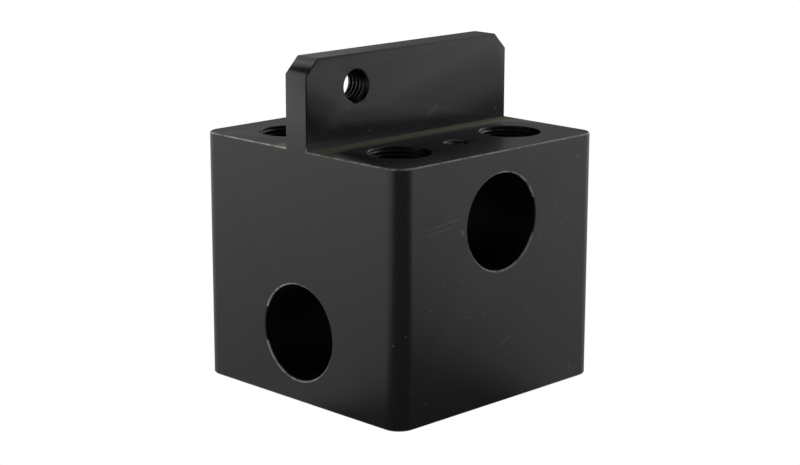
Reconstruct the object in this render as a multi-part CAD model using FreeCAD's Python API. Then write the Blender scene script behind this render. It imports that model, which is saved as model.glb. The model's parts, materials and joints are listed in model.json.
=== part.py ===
import FreeCAD, Part
import math
import os

# Guide block: one solid milled from aluminium bar, with a full-length fin on its top face.
# Millimetres. X runs along the fin, Y across it, +Z up. The origin is the middle of the bottom face.

Vec = FreeCAD.Vector

# Body
width = 70.0                    # along X
depth = 70.0                    # along Y
body_height = 63.0
corner_radius = 4.5             # the four upright corners
edge_break = 0.3                # small bevel that takes the sharpness off the outer edges

# Fin along the middle of the top face, flush with the body at both ends
fin_thickness = 7.5
fin_height = 22.0
fin_end_chamfer = 4.0           # 45 degree corners at the top of both ends

# Plain bores for guide rods, crossing at right angles one above the other
upper_bore_diameter = 24.0      # along Y
upper_bore_from_top = 17.5
lower_bore_diameter = 24.0      # along X
lower_bore_from_bottom = 17.5
bore_mouth_chamfer = 0.4

# Blind tapped holes in the top face, two on each side of the fin
top_hole_spacing_x = 39.0
top_hole_spacing_y = 39.0
top_thread = 15.0
top_thread_pitch = 1.0
top_thread_depth = 13.0
top_mouth_diameter = 15.7

# Tapped hole for the set screw that locks the rod in the upper bore
screw_thread = 6.0
screw_thread_pitch = 1.0
screw_mouth_diameter = 7.2

# Tapped hole through the fin
fin_thread = 8.0
fin_thread_pitch = 1.25
fin_hole_from_end = 16.5
fin_hole_from_top = 8.0
fin_mouth_diameter = 8.7

SAME = 0.001                    # sizes closer than this count as equal
DRILL_POINT = 118.0             # full angle of a twist drill's tip, in degrees
THREAD_DEPTH = 1.0825           # depth of an ISO thread over the diameter, in pitches

total_height = body_height + fin_height
upper_bore_z = body_height - upper_bore_from_top
lower_bore_z = lower_bore_from_bottom


def tap_drill_radius(thread, pitch):
    """Radius of the hole before tapping, at the crests of the finished thread."""
    return (thread - THREAD_DEPTH * pitch) / 2


def rounded_rectangle(length_x, length_y, radius, z):
    """Flat face with four round corners, centred on the Z axis."""
    x, y = length_x / 2, length_y / 2
    corners = [(x - radius, y - radius, 0), (radius - x, y - radius, 90),
               (radius - x, radius - y, 180), (x - radius, radius - y, 270)]
    up = Vec(0, 0, 1)
    arcs = [Part.makeCircle(radius, Vec(cx, cy, z), up, start, start + 90)
            for cx, cy, start in corners]
    edges = []
    for arc, following in zip(arcs, arcs[1:] + arcs[:1]):
        edges.append(arc)
        edges.append(Part.makeLine(arc.Vertexes[-1].Point, following.Vertexes[0].Point))
    return Part.Face(Part.Wire(edges))


def lathe_tool(profile, place, axis):
    """Cutter turned from (radius, depth) points; depth runs from the mouth against the axis."""
    points = [Vec(radius, 0, -depth_in) for radius, depth_in in profile]
    half_section = Part.Face(Part.makePolygon(points + points[:1]))
    cutter = half_section.revolve(Vec(0, 0, 0), Vec(0, 0, 1), 360)
    cutter.Placement = FreeCAD.Placement(place, FreeCAD.Rotation(Vec(0, 0, 1), axis))
    return cutter


def through_tool(radius, mouth_radius, length, place, axis):
    """Cutter for a hole right through, with the same chamfer at both mouths."""
    chamfer = mouth_radius - radius
    clear = edge_break
    profile = [(0, -clear), (mouth_radius + clear, -clear), (radius, chamfer),
               (radius, length - chamfer), (mouth_radius + clear, length + clear),
               (0, length + clear)]
    return lathe_tool(profile, place, axis)


def blind_tool(radius, mouth_radius, length, place, axis):
    """Cutter for a drilled blind hole: chamfered mouth, straight wall and a conical floor."""
    chamfer = mouth_radius - radius
    clear = edge_break
    tip = radius / math.tan(math.radians(DRILL_POINT / 2))
    profile = [(0, -clear), (mouth_radius + clear, -clear), (radius, chamfer),
               (radius, length), (0, length + tip)]
    return lathe_tool(profile, place, axis)


def body():
    """Rounded block with the rims of its top and bottom faces broken."""
    outline = rounded_rectangle(width, depth, corner_radius, 0)
    block = outline.extrude(Vec(0, 0, body_height))
    rims = [edge for edge in block.Edges
            if edge.BoundBox.ZLength < SAME]
    return block.makeChamfer(edge_break, rims)


def fin():
    """Upright plate with its two top corners cut off and all its edges broken."""
    end, top = width / 2, total_height
    root = body_height - 2 * edge_break
    outline = [Vec(-end, -fin_thickness / 2, root), Vec(end, -fin_thickness / 2, root),
               Vec(end, -fin_thickness / 2, top - fin_end_chamfer),
               Vec(end - fin_end_chamfer, -fin_thickness / 2, top),
               Vec(fin_end_chamfer - end, -fin_thickness / 2, top),
               Vec(-end, -fin_thickness / 2, top - fin_end_chamfer)]
    plate = Part.Face(Part.makePolygon(outline + outline[:1])).extrude(Vec(0, fin_thickness, 0))
    broken = [edge for edge in plate.Edges
              if edge.BoundBox.YLength < SAME
              and edge.BoundBox.ZMax > body_height]
    return plate.makeChamfer(edge_break, broken)


def rod_bores():
    """The two crossed bores, each right through the body."""
    along_y = through_tool(upper_bore_diameter / 2, upper_bore_diameter / 2 + bore_mouth_chamfer,
                           depth, Vec(0, -depth / 2, upper_bore_z), Vec(0, -1, 0))
    along_x = through_tool(lower_bore_diameter / 2, lower_bore_diameter / 2 + bore_mouth_chamfer,
                           width, Vec(-width / 2, 0, lower_bore_z), Vec(-1, 0, 0))
    return [along_y, along_x]


def top_holes():
    """Four blind holes drilled for tapping, at the corners of a rectangle on the top face."""
    tools = []
    for side_x in (-1, 1):
        for side_y in (-1, 1):
            place = Vec(side_x * top_hole_spacing_x / 2, side_y * top_hole_spacing_y / 2,
                        body_height)
            tools.append(blind_tool(tap_drill_radius(top_thread, top_thread_pitch),
                                    top_mouth_diameter / 2, top_thread_depth, place,
                                    Vec(0, 0, 1)))
    return tools


def set_screw_hole():
    """Tap-drilled hole from the top face down into the upper bore, midway between two top holes."""
    radius = tap_drill_radius(screw_thread, screw_thread_pitch)
    mouth = Vec(0, -top_hole_spacing_y / 2, body_height)
    chamfer = screw_mouth_diameter / 2 - radius
    profile = [(0, -edge_break), (screw_mouth_diameter / 2 + edge_break, -edge_break),
               (radius, chamfer), (radius, upper_bore_from_top), (0, upper_bore_from_top)]
    return lathe_tool(profile, mouth, Vec(0, 0, 1))


def fin_hole():
    """Tap-drilled hole through the fin, countersunk on both faces."""
    place = Vec(fin_hole_from_end - width / 2, -fin_thickness / 2,
                total_height - fin_hole_from_top)
    return through_tool(tap_drill_radius(fin_thread, fin_thread_pitch), fin_mouth_diameter / 2,
                        fin_thickness, place, Vec(0, -1, 0))


def guide_block():
    """The whole part: body and fin in one piece, then every hole cut from it."""
    blank = body().fuse(fin()).removeSplitter()
    cutters = rod_bores() + top_holes() + [set_screw_hole(), fin_hole()]
    return blank.cut(cutters).removeSplitter()


os.makedirs("parts", exist_ok=True)
part = guide_block()
print("solids", len(part.Solids), "valid", part.isValid(), "volume", round(part.Volume), "mm3")
part.Solids[0].exportStep("parts/guide_block.step")
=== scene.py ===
import bpy
import bmesh
import json
import math
from mathutils import Matrix, Vector


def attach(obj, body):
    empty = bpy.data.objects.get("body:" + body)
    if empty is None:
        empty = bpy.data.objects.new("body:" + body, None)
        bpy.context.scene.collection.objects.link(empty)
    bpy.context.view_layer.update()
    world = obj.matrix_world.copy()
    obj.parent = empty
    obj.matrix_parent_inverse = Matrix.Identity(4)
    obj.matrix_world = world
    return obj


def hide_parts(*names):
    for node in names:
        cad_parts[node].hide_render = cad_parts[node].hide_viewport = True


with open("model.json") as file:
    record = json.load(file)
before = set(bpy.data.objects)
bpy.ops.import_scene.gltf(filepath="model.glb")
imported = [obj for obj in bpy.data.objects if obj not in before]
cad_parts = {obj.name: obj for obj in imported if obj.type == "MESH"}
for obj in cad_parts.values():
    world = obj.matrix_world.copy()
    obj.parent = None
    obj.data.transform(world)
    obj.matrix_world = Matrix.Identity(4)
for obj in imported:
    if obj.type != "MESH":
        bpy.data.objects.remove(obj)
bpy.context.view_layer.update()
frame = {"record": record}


# ---------------------------------------------------------------------------------------------
# Guide block. One solid milled from aluminium bar: a body with round upright corners, a fin
# along the middle of its top, two crossed rod bores, and tapped holes. The taps go in last, so
# their threads are cut here, out of a copy of the finished blank.
# ---------------------------------------------------------------------------------------------
MM = 0.001
UP = Vector((0, 0, 1))
mounts = {mount["name"]: mount for mount in frame["record"]["mounts"]}

THREAD_DEPTH = 1.0825                 # of an ISO internal thread, over the diameter, in pitches
ROOT_FLAT = 1 / 8                     # of the same thread, in pitches
CREST_FLAT = 1 / 4
FLANK = (1 - ROOT_FLAT - CREST_FLAT) / 2
THREAD_STEPS = 64                     # steps in one turn
CAP_HEIGHT = 0.02 * MM                # of the low cone that closes each end of a sweep
INSIDE_WALL = 0.01 * MM               # by which a tap's core stays clear of the drilled wall


def tap(hole, axis, minor_radius, pitch, start, end):
    """The solid that a tap sweeps: a screw thread along the axis, from start to end off the hole."""
    minor = minor_radius - INSIDE_WALL
    major = minor_radius + THREAD_DEPTH / 2 * pitch
    profile = [(0, minor), (CREST_FLAT, minor), (CREST_FLAT + FLANK, major), (1 - FLANK, major)]
    turns = round((end - start) / pitch)
    mesh = bmesh.new()

    def helix_point(row, step):
        share, radius = profile[row % len(profile)]
        angle = math.tau * step / THREAD_STEPS
        rise = row // len(profile) + share + step / THREAD_STEPS
        return mesh.verts.new((radius * math.cos(angle), radius * math.sin(angle),
                               start + pitch * rise))

    rows = [[helix_point(row, step) for step in range(THREAD_STEPS)]
            for row in range(len(profile) * (turns + 1) + 1)]
    last = len(profile) * turns
    for row in range(last):
        lower = rows[row] + [rows[row + len(profile)][0]]
        upper = rows[row + 1] + [rows[row + 1 + len(profile)][0]]
        for step in range(THREAD_STEPS):
            mesh.faces.new((lower[step], lower[step + 1], upper[step + 1], upper[step]))
    for row, outward in ((0, False), (last, True)):
        rim = rows[row] + [rows[row + back][0] for back in range(len(profile), 0, -1)]
        tip = mesh.verts.new((0, 0, start + pitch * (row / len(profile)) + CAP_HEIGHT))
        for here, after in zip(rim, rim[1:] + rim[:1]):
            mesh.faces.new((here, after, tip) if outward else (after, here, tip))
    for vert in [vert for vert in mesh.verts if not vert.link_faces]:
        mesh.verts.remove(vert)
    turn = UP.rotation_difference(Vector(axis)).to_matrix().to_4x4()
    mesh.transform(Matrix.Translation(hole) @ turn)
    return mesh


top_holes = mounts["top_holes"]
fin_hole = mounts["fin_hole"]
set_screw_hole = mounts["set_screw_hole"]
TOP_HOLES_MOUNT_DEPTH = 1.0 * MM      # of the mount's point below the top face
FIN_COUNTERSINK_DEPTH = 1.03 * MM
top_face = top_holes["pos_m"][2] + TOP_HOLES_MOUNT_DEPTH
fin_face = fin_hole["dims"]["length_mm"] / 2 * MM + FIN_COUNTERSINK_DEPTH
half_x = top_holes["dims"]["spacing_x_mm"] / 2 * MM
half_y = top_holes["dims"]["spacing_y_mm"] / 2 * MM

# Each tap runs out above the mouth. Those in the top holes stop short of the drilled end, and
# the others come out on the far side, at the back of the fin and in the upper bore.
FINE_PITCH = 1.0 * MM
COARSE_PITCH = 1.25 * MM
ABOVE_TOP = 1.6 * MM
TOP_TAP_DEPTH = 12.4 * MM
SET_SCREW_TAP_DEPTH = 7.4 * MM
BEHIND_FIN = 6.1 * MM
BEFORE_FIN = 5.15 * MM
taps = [tap((side_x * half_x, side_y * half_y, top_face), UP, top_holes["dims"]["hole_r_mm"] * MM,
            FINE_PITCH, -TOP_TAP_DEPTH, ABOVE_TOP) for side_x in (-1, 1) for side_y in (-1, 1)]
taps.append(tap(fin_hole["pos_m"], fin_hole["axis"], fin_hole["dims"]["r_mm"] * MM,
                COARSE_PITCH, -BEHIND_FIN, BEFORE_FIN))
taps.append(tap((*set_screw_hole["pos_m"][:2], top_face), UP, set_screw_hole["dims"]["r_mm"] * MM,
                FINE_PITCH, -SET_SCREW_TAP_DEPTH, ABOVE_TOP))
cutter = bmesh.new()
cutter_mesh = bpy.data.meshes.new("tap_sweeps")
for sweep in taps:
    sweep.to_mesh(cutter_mesh)
    sweep.free()
    cutter.from_mesh(cutter_mesh)
cutter.to_mesh(cutter_mesh)
cutter.free()
cutter_object = bpy.data.objects.new("tap_sweeps", cutter_mesh)
bpy.context.collection.objects.link(cutter_object)

blank = bmesh.new()
blank.from_mesh(bpy.data.objects["guide_block"].data)
bmesh.ops.remove_doubles(blank, verts=blank.verts, dist=0.001 * MM)
block_mesh = bpy.data.meshes.new("guide_block_threaded")
blank.to_mesh(block_mesh)
blank.free()
block = bpy.data.objects.new("guide_block_threaded", block_mesh)
bpy.context.collection.objects.link(block)
tapping = block.modifiers.new("tapping", "BOOLEAN")
tapping.operation = "DIFFERENCE"
tapping.solver = "MANIFOLD"
tapping.object = cutter_object


def apply_modifiers():
    """The block's mesh with its modifier's result in it."""
    bpy.context.view_layer.update()
    mesh = bpy.data.meshes.new_from_object(block.evaluated_get(bpy.context.evaluated_depsgraph_get()))
    block.modifiers.clear()
    block.data = mesh
    return mesh


tapped = apply_modifiers()
bpy.data.objects.remove(cutter_object)

# Flat faces stay flat right up to the round corners, and every edge above this angle is crisp.
CRISP_ANGLE = math.radians(32)
for face in tapped.polygons:
    face.use_smooth = True
tapped.set_sharp_from_angle(angle=CRISP_ANGLE)
flats_first = block.modifiers.new("flats_first", "WEIGHTED_NORMAL")
flats_first.keep_sharp = True
flats_first.weight = 100
tapped = apply_modifiers()

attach(block, "root")
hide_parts("guide_block")

# The edge breaks and the bores' mouths are marked, to carry a painted highlight that is patched like wear:
# narrow sloping facets that belong to no thread. A facet is left out within these radii of a hole.
EDGE_BREAK = 0.3 * MM
FLAT_ENOUGH = 0.95                    # the largest part of a normal that faces nearly along an axis
SLOPING = 0.25                        # the least upright part of a sloping facet's normal
TOP_HOLE_REACH = 8.4 * MM
SET_SCREW_REACH = 3.9 * MM
FIN_HOLE_REACH = 6 * MM
threads = [((x, y), TOP_HOLE_REACH) for x in (-half_x, half_x) for y in (-half_y, half_y)]
threads.append((tuple(set_screw_hole["pos_m"][:2]), SET_SCREW_REACH))


def is_edge_break(face):
    """Whether a facet is part of a broken edge: narrow, sloping or upright on the fin, no thread."""
    corners = [tapped.vertices[index].co for index in face.vertices]
    longest = max((a - b).length for a, b in zip(corners, corners[1:] + corners[:1]))
    if 2 * face.area / max(longest, 1e-9) > 2 * EDGE_BREAK:
        return False
    if max(abs(part) for part in face.normal) > FLAT_ENOUGH:
        return False
    centre = face.center
    if any((centre.xy - Vector(hole)).length < radius for hole, radius in threads):
        return False
    if centre.z > top_face and (centre - Vector(fin_hole["pos_m"])).length < FIN_HOLE_REACH:
        return False
    return abs(face.normal.z) > SLOPING or centre.z > top_face


edge_break = tapped.attributes.new("edge_break", "FLOAT", "FACE")
for face in tapped.polygons:
    edge_break.data[face.index].value = 1.0 if is_edge_break(face) else 0.0


# ---------------------------------------------------------------------------------------------
# Finish. Sulphuric acid anodising dyed black over a milled surface: a hard clear oxide skin on
# black pores, satin rather than glossy, with the cutter's fine lay still showing through it.
# ---------------------------------------------------------------------------------------------
def linear(hex_colour):
    """An sRGB hex colour as the linear RGBA that a shader takes."""
    parts = [int(hex_colour[i:i + 2], 16) / 255 for i in (1, 3, 5)]
    return tuple(p / 12.92 if p <= 0.04045 else ((p + 0.055) / 1.055) ** 2.4 for p in parts) + (1.0,)


anodised = bpy.data.materials.new("black_anodised_milled_aluminium")
anodised.use_nodes = True
tree = anodised.node_tree
tree.nodes.clear()


def add(kind, settings=None, inputs=None):
    """One node with its settings; an input is a value, a socket, or a node's first output."""
    node = tree.nodes.new(kind)
    for name, value in (settings or {}).items():
        setattr(node, name, value)
    for name, value in (inputs or {}).items():
        if isinstance(value, bpy.types.Node):
            value = value.outputs[0]
        if isinstance(value, bpy.types.NodeSocket):
            tree.links.new(value, node.inputs[name])
        else:
            node.inputs[name].default_value = value
    return node


SOFT_STEP = {"interpolation_type": "SMOOTHSTEP"}
TIMES = {"operation": "MULTIPLY"}
PLUS = {"operation": "ADD"}
MINUS = {"operation": "SUBTRACT"}
LARGER = {"operation": "MAXIMUM"}
WITHOUT_SIGN = {"operation": "ABSOLUTE"}
LESS = {"operation": "LESS_THAN"}
MORE = {"operation": "GREATER_THAN"}

place = add("ShaderNodeTexCoord").outputs["Object"]
across = add("ShaderNodeSeparateXYZ", None, {"Vector": place}).outputs
facing = add("ShaderNodeSeparateXYZ", None, {
    "Vector": add("ShaderNodeNewGeometry").outputs["True Normal"]}).outputs

# The bath leaves a fine even grain. The cutter's lay runs along the fin, drawn 0.8 mm wide and
# 20 times as long, which is coarser than the real one, so that it shows. Cloud is slow unevenness.
LAY_WIDTH = 0.8 * MM
LAY_STRETCH = 1 / 20
GRAIN_SIZE = 0.45 * MM
CLOUD_SIZE = 14 * MM
lay_place = add("ShaderNodeVectorMath", TIMES, {0: place, 1: (LAY_STRETCH, 1, 1)})
lay = add("ShaderNodeTexNoise", None, {"Vector": lay_place, "Scale": 1 / LAY_WIDTH, "Detail": 2.0})
grain = add("ShaderNodeTexNoise", None, {"Vector": place, "Scale": 1 / GRAIN_SIZE, "Detail": 3.0})
cloud = add("ShaderNodeTexNoise", None, {"Vector": place, "Scale": 1 / CLOUD_SIZE, "Detail": 4.0})
on_fin = add("ShaderNodeMapRange", SOFT_STEP, {
    "Value": across["Z"], "From Min": top_face, "From Max": top_face + 0.2 * MM})
lay_depth = add("ShaderNodeMath", TIMES, {0: on_fin, 1: 2.5})
lay_height = add("ShaderNodeMath", TIMES, {0: lay, 1: lay_depth})
relief = add("ShaderNodeMath", PLUS, {0: grain, 1: lay_height})
finish_bump = add("ShaderNodeBump", None, {"Height": relief, "Strength": 0.45, "Distance": 0.02 * MM})
roughness = add("ShaderNodeMapRange", None, {
    "Value": cloud, "From Min": 0.3, "From Max": 0.7, "To Min": 0.27, "To Max": 0.33})

# Painted reflection: an olive band of light, as if thrown down off the fin's upright faces, lies on the
# top face in the corner along both sides of the fin, grainy and ragged at its edge.
REFLECTION_THINS = 5.4 * MM
REFLECTION_ENDS = 7.4 * MM
REFLECTION_RAGGEDNESS = 3.0 * MM
from_fin = add("ShaderNodeMath", WITHOUT_SIGN, {0: across["Y"]})
raggedness = add("ShaderNodeMath", TIMES, {0: cloud, 1: REFLECTION_RAGGEDNESS})
reflection_edge = add("ShaderNodeMath", PLUS, {0: from_fin, 1: raggedness})
near_fin = add("ShaderNodeMapRange", SOFT_STEP, {
    "Value": reflection_edge, "From Min": fin_face + REFLECTION_ENDS, "From Max": fin_face + REFLECTION_THINS})
facing_up = add("ShaderNodeMapRange", SOFT_STEP, {"Value": facing["Z"], "From Min": 0.9, "From Max": 0.99})
off_fin_top = add("ShaderNodeMapRange", SOFT_STEP, {
    "Value": across["Z"], "From Min": top_face + 0.4 * MM, "From Max": top_face + 0.2 * MM})
above_bores = add("ShaderNodeMapRange", SOFT_STEP, {
    "Value": across["Z"], "From Min": top_face - 0.4 * MM, "From Max": top_face - 0.2 * MM})
patchy = add("ShaderNodeMapRange", SOFT_STEP, {"Value": grain, "From Min": 0.2, "From Max": 0.6})
painted_fin_reflection = near_fin
for limit in (facing_up, off_fin_top, above_bores, patchy):
    painted_fin_reflection = add("ShaderNodeMath", TIMES, {0: painted_fin_reflection, 1: limit})

# Pale specks of dust, up to 0.8 mm across, lie on every face.
SPECK_CELL = 2.0 * MM
LARGEST_SPECK = 0.2                   # its radius, in cells
cells = add("ShaderNodeTexVoronoi", None, {"Vector": place, "Scale": 1 / SPECK_CELL, "Randomness": 1.0})
picked = add("ShaderNodeSeparateColor", None, {"Color": cells.outputs["Color"]}).outputs
speck_size = add("ShaderNodeMath", TIMES, {0: picked["Green"], 1: LARGEST_SPECK})
in_speck = add("ShaderNodeMath", LESS, {0: cells, 1: speck_size})
some_cells = add("ShaderNodeMath", MORE, {0: picked["Red"], 1: 0.7})
paleness = add("ShaderNodeMath", TIMES, {0: picked["Blue"], 1: 0.6})
chosen = add("ShaderNodeMath", TIMES, {0: in_speck, 1: some_cells})
marks = add("ShaderNodeMath", TIMES, {0: chosen, 1: paleness})

# Scratches and rubs on the front right face and the fin. Each has its middle in mm, its tilt in
# degrees, its length and half width in mm, and how strongly it shows.
scratches = [
    ((-19.2, -35, 48.2), 6, 10.5, 0.16, 0.35),
    ((-20.9, -35, 46.7), 5, 11.5, 0.14, 0.30),
    ((-13.9, -35, 45.1), 0, 0.8, 0.8, 0.45),
    ((1.8, -35, 15.4), 25, 5.0, 0.5, 0.10),
    ((7.7, -3.75, 67.8), 30, 6.0, 0.9, 0.10),
]
for centre, tilt, length, half_width, strength in scratches:
    local = add("ShaderNodeMapping", {"vector_type": "TEXTURE"}, {
        "Vector": place, "Location": [part * MM for part in centre],
        "Rotation": (0, -math.radians(tilt), 0)})
    offset = add("ShaderNodeSeparateXYZ", None, {"Vector": local}).outputs
    line = None
    for way, none, full in (("X", length / 2, length / 3), ("Z", half_width, half_width / 4),
                            ("Y", 0.3, 0.2)):
        away = add("ShaderNodeMath", WITHOUT_SIGN, {0: offset[way]})
        within = add("ShaderNodeMapRange", SOFT_STEP, {
            "Value": away, "From Min": none * MM, "From Max": full * MM})
        line = within if line is None else add("ShaderNodeMath", TIMES, {0: line, 1: within})
    shown = add("ShaderNodeMath", TIMES, {0: line, 1: strength})
    marks = add("ShaderNodeMath", LARGER, {0: marks, 1: shown})

# Painted highlight, patched like wear: the body's broken edges and the bores' mouths are drawn pale in
# patches, as black rubbed thin; the fin's edges stay dark.
EDGE_PATCH_SIZE = 2.2 * MM
edge_patch_noise = add("ShaderNodeTexNoise", None, {
    "Vector": place, "Scale": 1 / EDGE_PATCH_SIZE, "Detail": 5.0, "Roughness": 0.7})
wear_and_highlight_patch = add("ShaderNodeMapRange", SOFT_STEP, {"Value": edge_patch_noise, "From Min": 0.25, "From Max": 0.58})
below_fin = add("ShaderNodeMapRange", SOFT_STEP, {
    "Value": across["Z"], "From Min": top_face + 1.5 * MM, "From Max": top_face})
edge = add("ShaderNodeAttribute", {"attribute_name": "edge_break"}).outputs["Fac"]
edge_wear_and_highlight = add("ShaderNodeMath", TIMES, {0: edge, 1: wear_and_highlight_patch})
wear_and_edge_highlight = add("ShaderNodeMath", TIMES, {0: edge_wear_and_highlight, 1: below_fin})

# Layers of colour, from the dyed oxide up, with the painted reflection and the painted highlight among
# them. Inputs 6 and 7 of a colour Mix are its A and B.
fin_reflection_colour = add("ShaderNodeMix", {"data_type": "RGBA"}, {
    "Factor": painted_fin_reflection, 6: linear("#1b1b1a"), 7: linear("#8c866e")}).outputs[2]
marked = add("ShaderNodeMix", {"data_type": "RGBA"}, {
    "Factor": marks, 6: fin_reflection_colour, 7: linear("#b4b4ae")}).outputs[2]
# Painted highlight on the edge breaks and the bores' mouths, patched like wear.
wear_and_highlight_colour = add("ShaderNodeMix", {"data_type": "RGBA"}, {
    "Factor": wear_and_edge_highlight, 6: marked, 7: linear("#d8d8d4")}).outputs[2]
GRAIN_ROUGHNESS = 0.12
grainy = add("ShaderNodeMath", TIMES, {0: grain, 1: GRAIN_ROUGHNESS})
satin = add("ShaderNodeMath", PLUS, {0: roughness, 1: grainy})
centred = add("ShaderNodeMath", MINUS, {0: satin, 1: GRAIN_ROUGHNESS / 2})
# The painted reflection band is drawn rougher where it lies.
reflection_band_roughness = add("ShaderNodeMath", TIMES, {0: painted_fin_reflection, 1: 0.75})
dull = add("ShaderNodeMath", LARGER, {0: centred, 1: reflection_band_roughness})
surface = add("ShaderNodeBsdfPrincipled", None, {
    "Base Color": wear_and_highlight_colour, "Roughness": dull, "IOR": 1.6, "Normal": finish_bump})
add("ShaderNodeOutputMaterial", None, {"Surface": surface})
block.data.materials.clear()
block.data.materials.append(anodised)


# ---------------------------------------------------------------------------------------------
# Floor and light. The white floor is seen by the camera alone: it is in no reflection and takes
# no shadow. Softboxes stand round the block, but none in front, so the front corner turns dark.
# ---------------------------------------------------------------------------------------------
FLOOR_HALF = 3.0
floor_mesh = bpy.data.meshes.new("floor")
floor_mesh.from_pydata([(-FLOOR_HALF, -FLOOR_HALF, 0), (FLOOR_HALF, -FLOOR_HALF, 0),
                        (FLOOR_HALF, FLOOR_HALF, 0), (-FLOOR_HALF, FLOOR_HALF, 0)], [], [(0, 1, 2, 3)])
floor = bpy.data.objects.new("floor", floor_mesh)
bpy.context.collection.objects.link(floor)
floor.visible_glossy = False
floor.visible_diffuse = False
floor.visible_shadow = False

WHITE_OUT = 1.02                      # a little over full white
white_paint = bpy.data.materials.new("matt_white_sweep")
white_paint.use_nodes = True
tree = white_paint.node_tree
tree.nodes.clear()
lit_white = add("ShaderNodeEmission", None, {"Color": linear("#ffffff"), "Strength": WHITE_OUT})
add("ShaderNodeOutputMaterial", None, {"Surface": lit_white})

# What the block mirrors of the table: dim close in, under its own shadow, and towards the unlit
# front, and bright further out, under the softboxes. The camera doesn't see it.
table_mesh = floor_mesh.copy()
table_mesh.transform(Matrix.Translation((0, 0, -0.5 * MM)))
table = bpy.data.objects.new("table_glow", table_mesh)
bpy.context.collection.objects.link(table)
table.visible_camera = False
table.visible_shadow = False
floor_mesh.materials.append(white_paint)

DARK_SIDE = math.radians(-30)
DARK_WITHIN = math.radians(30)
BRIGHT_BEYOND = math.radians(66)
dark_way = (math.sin(DARK_SIDE), -math.cos(DARK_SIDE), 0)
lit_table = bpy.data.materials.new("lit_table_top")
lit_table.use_nodes = True
tree = lit_table.node_tree
tree.nodes.clear()
place = add("ShaderNodeTexCoord").outputs["Object"]
ground = add("ShaderNodeVectorMath", TIMES, {0: place, 1: (1, 1, 0)})
far_out = add("ShaderNodeVectorMath", {"operation": "LENGTH"}, {0: ground}).outputs["Value"]
bearing = add("ShaderNodeVectorMath", {"operation": "NORMALIZE"}, {0: ground})
frontness = add("ShaderNodeVectorMath", {"operation": "DOT_PRODUCT"}, {0: bearing, 1: dark_way})
spread = add("ShaderNodeMapRange", SOFT_STEP, {
    "Value": frontness.outputs["Value"], "From Min": math.cos(DARK_WITHIN),
    "From Max": math.cos(BRIGHT_BEYOND), "To Min": 0.24, "To Max": 1.0})
out_from_shadow = add("ShaderNodeMapRange", None, {
    "Value": far_out, "From Min": 45 * MM, "From Max": 330 * MM, "To Min": 0.42, "To Max": 0.72})
brightness = add("ShaderNodeMath", TIMES, {0: spread, 1: out_from_shadow})
table_light = add("ShaderNodeEmission", None, {"Strength": brightness})
add("ShaderNodeOutputMaterial", None, {"Surface": table_light})
table_mesh.materials.append(lit_table)

# The room is white behind the block, and lights it only faintly.
scene = bpy.context.scene
world = bpy.data.worlds.new("studio")
scene.world = world
world.use_nodes = True
tree = world.node_tree
tree.nodes.clear()
camera_sees = add("ShaderNodeLightPath").outputs["Is Camera Ray"]
room_light = add("ShaderNodeMapRange", None, {"Value": camera_sees, "To Min": 0.045, "To Max": WHITE_OUT})
room = add("ShaderNodeBackground", None, {"Color": linear("#ffffff"), "Strength": room_light})
add("ShaderNodeOutputWorld", None, {"Surface": room})

# Each softbox has the azimuths at which it stands, its elevation, both in degrees, and its
# brightness. Azimuth 0 is at -Y, and 90 at +X. The top ones are wider, to close the ring.
STAND_OFF = 500 * MM
PANEL_ARC = math.radians(30)
PANEL_RISE = math.radians(24)
TOP_WIDENING = 1.7
TOP_ELEVATION = 58
middle = Vector((0, 0, 40 * MM))
softboxes = [
    ("left_band", (-180, -150, -120), 10, 0.85),
    ("left_end", (-90,), 10, 0.28),
    ("right_band", (90,), 10, 1.25),
    ("right_shoulder", (60,), 10, 0.6),
    ("right_end", (30,), 10, 0.25),
    ("rear_band", (120, 150), 10, 0.1),
    ("rear_crown", (-180, 150), 34, 0.7),
    ("rear_right_crown", (120,), 34, 0.3),
    ("right_crown", (90,), 34, 1.0),
    ("top", (-180, 120, 60), TOP_ELEVATION, 0.42),
]
for name, azimuths, elevation, brightness in softboxes:
    for azimuth in azimuths:
        around = math.radians(azimuth)
        above = math.radians(elevation)
        widening = TOP_WIDENING if elevation == TOP_ELEVATION else 1
        outward = Vector((math.sin(around) * math.cos(above), -math.cos(around) * math.cos(above),
                          math.sin(above)))
        panel = bpy.data.lights.new(f"softbox_{name}_{azimuth}", "AREA")
        panel.shape = "RECTANGLE"
        panel.size = 2 * STAND_OFF * math.tan(PANEL_ARC / 2) * math.cos(above) * widening
        panel.size_y = 2 * STAND_OFF * math.tan(PANEL_RISE / 2)
        panel.energy = brightness * math.pi * panel.size * panel.size_y
        softbox = bpy.data.objects.new(panel.name, panel)
        softbox.location = middle + STAND_OFF * outward
        softbox.rotation_euler = outward.to_track_quat("Z", "Y").to_euler()
        softbox.visible_camera = False
        bpy.context.collection.objects.link(softbox)


# ---------------------------------------------------------------------------------------------
# Camera: a long lens from the front corner, a little above the top face.
# ---------------------------------------------------------------------------------------------
AZIMUTH = math.radians(-44.905)
ELEVATION = math.radians(13.485)
ROLL = math.radians(0.118)
camera_data = bpy.data.cameras.new("camera")
camera_data.sensor_width = 36.0
camera_data.lens = 89.4
camera = bpy.data.objects.new("camera", camera_data)
bpy.context.collection.objects.link(camera)
camera.location = (-346.3 * MM, -347.6 * MM, 154.5 * MM)
camera.rotation_euler = (Matrix.Rotation(AZIMUTH, 3, "Z")
                         @ Matrix.Rotation(math.pi / 2 - ELEVATION, 3, "X")
                         @ Matrix.Rotation(ROLL, 3, "Z")).to_euler()
scene.camera = camera
scene.view_settings.view_transform = "Standard"
